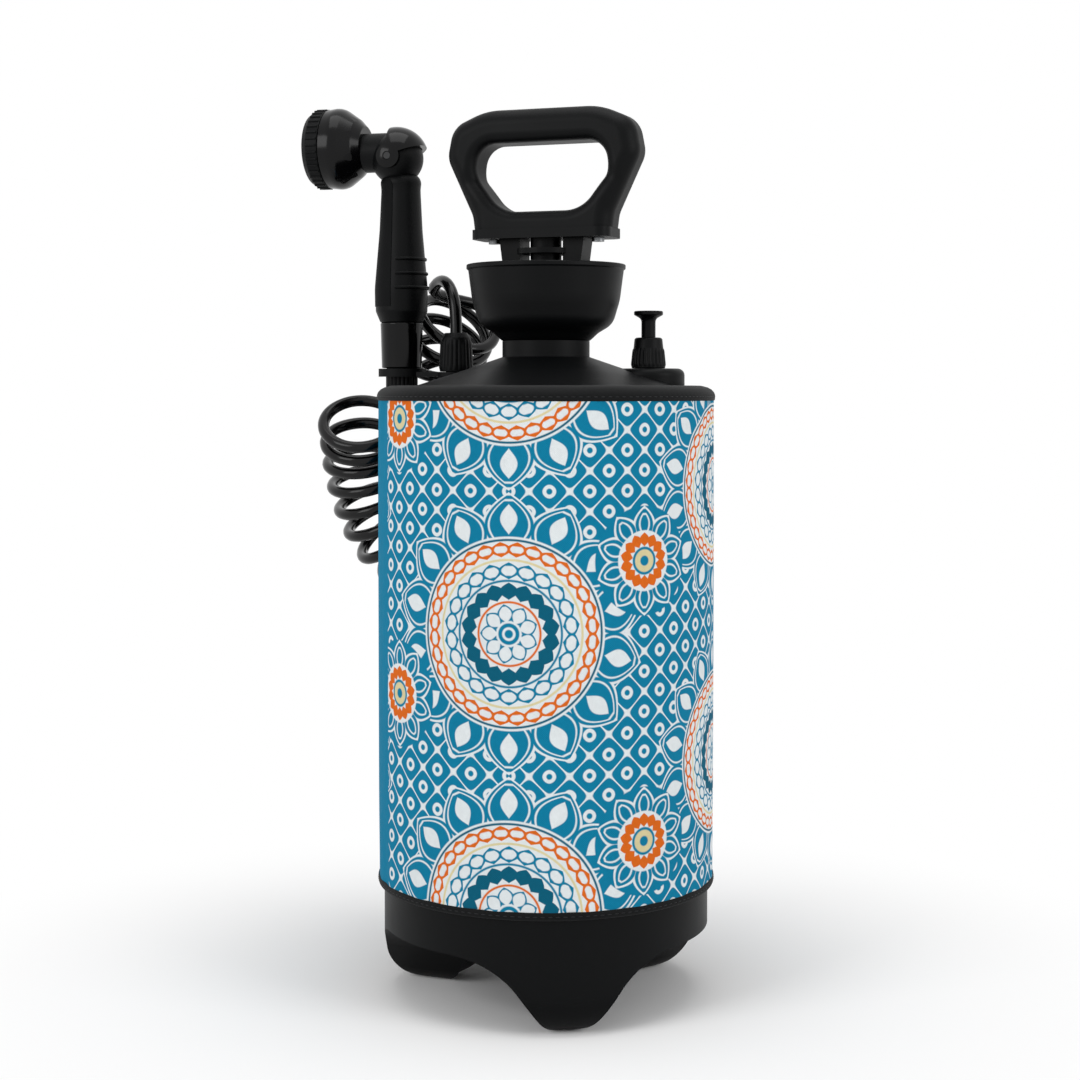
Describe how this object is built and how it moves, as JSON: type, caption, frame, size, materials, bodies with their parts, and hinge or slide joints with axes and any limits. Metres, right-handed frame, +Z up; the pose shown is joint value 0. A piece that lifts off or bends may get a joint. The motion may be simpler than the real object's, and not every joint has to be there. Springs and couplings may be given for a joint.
{
  "type": "portable pressure shower",
  "caption": "Portable pressure shower: a sleeved tank on feet, with a hand pump in a filling funnel, a relief valve and a hand shower on a curly hose.",
  "frame": {"origin": "the tank's own axis on the floor plane of its feet", "axes": "+Z up along the tank's axis, -Y towards the front, the handset on the -X side"},
  "size_m": [0.2405, 0.268, 0.5108],
  "materials": {
    "black_plastic": "satin",
    "black_gloss": "gloss",
    "pale_plastic": "satin",
    "hose_plastic": "gloss",
    "black_rubber": "matte",
    "printed_fabric": "matte, printed",
    "black_fabric": "matte",
    "steel": "plain"
  },
  "bodies": {
    "tank_body": {"tank": "black_plastic", "filler_funnel": "black_plastic", "sleeve": "printed_fabric", "sleeve_top_binding": "black_fabric", "sleeve_bottom_binding": "black_fabric", "sleeve_seam": "black_fabric", "relief_nut": "black_plastic", "relief_spring": "steel", "outlet_spigot": "black_plastic", "outlet_gasket": "black_rubber", "outlet_nut": "black_plastic", "dip_tube": "pale_plastic", "dip_strainer": "black_plastic", "handset_holder": "black_plastic", "hose_coil": "hose_plastic", "hose_tail_handset": "hose_plastic", "hose_tail_outlet": "hose_plastic"},
    "pump_barrel": {"pump_cylinder": "black_plastic", "cylinder_end_plug": "black_plastic", "foot_valve": "black_rubber", "pump_gasket": "black_rubber"},
    "pump_cap_body": {"pump_cap": "black_plastic", "rod_bush": "black_plastic"},
    "plunger": {"piston_rod": "black_plastic", "piston": "black_plastic", "piston_cup": "black_rubber"},
    "handle": {"handle_base": "black_plastic", "handle_loop": "black_plastic", "handle_screws": "steel"},
    "relief": {"relief_stem": "black_plastic", "relief_seal": "black_rubber"},
    "handset": {"handset_collar": "black_gloss", "hose_nut": "black_plastic", "handset_grip": "black_plastic", "grip_inlay": "black_rubber", "spray_bell": "black_gloss", "lever_pin": "steel"},
    "lever": {"thumb_lever": "black_gloss"},
    "spray_front": {"spray_ring": "black_plastic", "nozzle_face": "black_plastic"}
  },
  "joints": [
    {"name": "pump_lift", "type": "slide", "parent": "tank_body", "child": "pump_barrel", "axis": [0, 0, 1], "range_m": [0, 0.29]},
    {"name": "pump_unscrew", "type": "hinge", "parent": "pump_barrel", "child": "pump_cap_body", "pos_m": [0, 0, 0.39], "axis": [0, 0, 1], "range_deg": [0, 540]},
    {"name": "pump_stroke", "type": "slide", "parent": "pump_cap_body", "child": "plunger", "axis": [0, 0, 1], "range_m": [0, 0.2]},
    {"name": "handle_lock", "type": "hinge", "parent": "plunger", "child": "handle", "pos_m": [0, 0, 0.42], "axis": [0, 0, 1], "range_deg": [0, 60]},
    {"name": "relief_pull", "type": "slide", "parent": "tank_body", "child": "relief", "axis": [0, 0, 1], "range_m": [0, 0.004], "stiffness_N_per_m": 1200, "springref_m": -0.003, "deforming": ["relief_spring"]},
    {"name": "handset_lift", "type": "slide", "parent": "tank_body", "child": "handset", "axis": [0, 0, 1], "range_m": [0, 0.1]},
    {"name": "lever_turn", "type": "hinge", "parent": "handset", "child": "lever", "pos_m": [-0.0884, 0.06269, 0.48], "axis": [0.2756, 0.9613, 0], "range_deg": [0, 35]},
    {"name": "spray_turn", "type": "hinge", "parent": "handset", "child": "spray_front", "pos_m": [-0.086, 0.062, 0.4868], "axis": [-0.9613, 0.2756, 0], "continuous": true}
  ]
}
